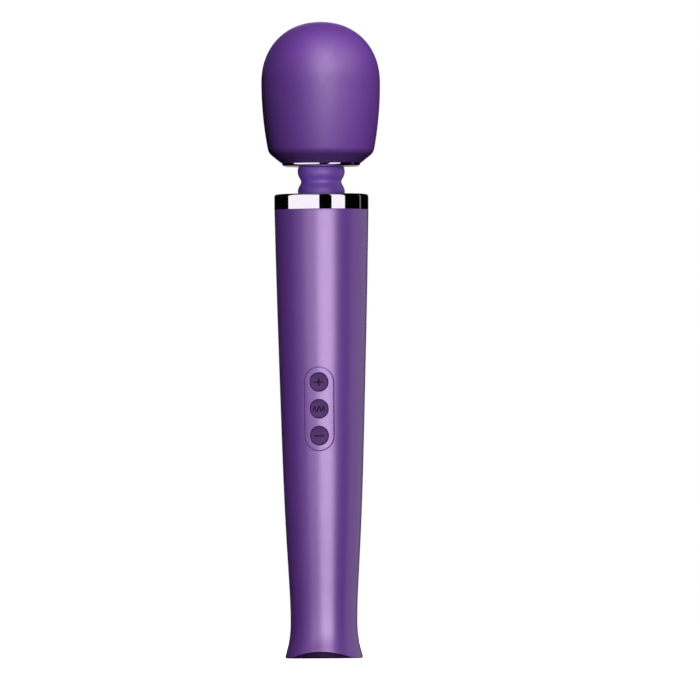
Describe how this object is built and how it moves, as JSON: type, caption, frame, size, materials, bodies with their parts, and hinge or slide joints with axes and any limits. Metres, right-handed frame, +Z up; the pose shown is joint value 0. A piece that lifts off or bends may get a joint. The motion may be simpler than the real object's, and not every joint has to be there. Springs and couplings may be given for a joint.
{
  "type": "handheld wand massager",
  "caption": "Cordless wand massager: waisted round handle with a push-button panel, flexible ribbed neck and a large silicone head driven by a spinning offset weight.",
  "frame": {"origin": "centre of the flat foot that the massager stands on", "axes": "+Z up along the handle to the head, -Y the front with the buttons, +X to the right of the front"},
  "size_m": [0.063, 0.063, 0.3373],
  "materials": {
    "shell_paint": "satin metallic purple paint",
    "button_tint": "gloss",
    "cap_tint": "gloss",
    "silicone": "matte",
    "elastomer": "matte",
    "bright_chrome": "polished",
    "housing_plastic": "matte",
    "chassis_plastic": "matte",
    "steel": "brushed",
    "screw_steel": "satin",
    "motor_steel": "satin",
    "magnet": "matte",
    "copper": "enamelled",
    "brass_part": "turned",
    "board_green": "satin",
    "chip_black": "matte",
    "cell_wrap": "satin wrap",
    "lead_wrap": "satin",
    "foam": "matte"
  },
  "bodies": {
    "handle": {"front_shell": "shell_paint", "rear_shell": "shell_paint", "button_panel": "shell_paint", "switch_housings": "steel", "control_board": "board_green", "board_components": "chip_black", "board_screws": "screw_steel", "chassis": "chassis_plastic", "battery_cells": "cell_wrap", "cell_tabs": "steel", "cell_pad": "foam", "battery_leads": "lead_wrap", "charge_leads": "lead_wrap", "motor_leads": "lead_wrap", "base_cap": "cap_tint", "base_screws": "screw_steel", "charge_socket": "housing_plastic", "charge_pin": "brass_part", "charge_board": "board_green", "motor_can": "motor_steel", "motor_end_bell": "housing_plastic", "motor_bushes": "brass_part", "motor_magnets": "magnet", "motor_brushes": "chip_black", "brush_terminals": "brass_part", "motor_mounts": "elastomer", "top_ring": "bright_chrome", "deck_plate": "bright_chrome", "neck_anchor": "housing_plastic", "neck_screws": "screw_steel"},
    "neck": {"neck_bellows": "silicone", "neck_core": "elastomer"},
    "head": {"collar_plate": "bright_chrome", "head_cover": "silicone", "head_base": "housing_plastic", "head_dome": "housing_plastic", "head_screws": "screw_steel", "bearing_outer_rings": "steel"},
    "head_rotor": {"head_shaft": "steel", "eccentric_weight": "steel", "weight_screw": "screw_steel", "upper_coupling": "brass_part", "bearing_inner_rings": "steel"},
    "bearing_train": {"bearing_balls": "steel", "bearing_cages": "brass_part"},
    "motor_rotor": {"motor_shaft": "steel", "rotor_core": "motor_steel", "rotor_windings": "copper", "commutator": "copper", "lower_coupling": "brass_part", "drive_spring": "steel"},
    "plus_key": {"plus_button": "button_tint", "plus_plunger": "chip_black"},
    "mode_key": {"mode_button": "button_tint", "mode_plunger": "chip_black"},
    "minus_key": {"minus_button": "button_tint", "minus_plunger": "chip_black"}
  },
  "joints": [
    {"name": "plus_press", "type": "slide", "parent": "handle", "child": "plus_key", "axis": [0, 1, 0], "range_m": [0, 0.0008], "stiffness_N_per_m": 1500, "springref_m": -0.0006},
    {"name": "mode_press", "type": "slide", "parent": "handle", "child": "mode_key", "axis": [0, 1, 0], "range_m": [0, 0.0008], "stiffness_N_per_m": 1500, "springref_m": -0.0006},
    {"name": "minus_press", "type": "slide", "parent": "handle", "child": "minus_key", "axis": [0, 1, 0], "range_m": [0, 0.0008], "stiffness_N_per_m": 1500, "springref_m": -0.0006},
    {"name": "neck_side_bend", "type": "hinge", "parent": "handle", "child": "neck", "pos_m": [0, 0, 0.2482], "axis": [0, 1, 0], "range_deg": [-20, 20], "stiffness_Nm_per_rad": 2, "deforming": ["neck_bellows", "neck_core", "drive_spring"]},
    {"name": "neck_front_bend", "type": "hinge", "parent": "neck", "child": "head", "pos_m": [0, 0, 0.2568], "axis": [1, 0, 0], "range_deg": [-20, 20], "stiffness_Nm_per_rad": 2, "deforming": ["neck_bellows", "neck_core", "drive_spring"]},
    {"name": "motor_spin", "type": "hinge", "parent": "handle", "child": "motor_rotor", "pos_m": [0, 0, 0.19], "axis": [0, 0, 1], "continuous": true},
    {"name": "weight_spin", "type": "hinge", "parent": "head", "child": "head_rotor", "pos_m": [0, 0, 0.29], "axis": [0, 0, 1], "continuous": true},
    {"name": "ball_spin", "type": "hinge", "parent": "head", "child": "bearing_train", "pos_m": [0, 0, 0.27], "axis": [0, 0, 1], "continuous": true}
  ],
  "couplings": [
    {"joint": "weight_spin", "follows": "motor_spin", "ratio": 1},
    {"joint": "ball_spin", "follows": "motor_spin", "ratio": 0.36}
  ]
}
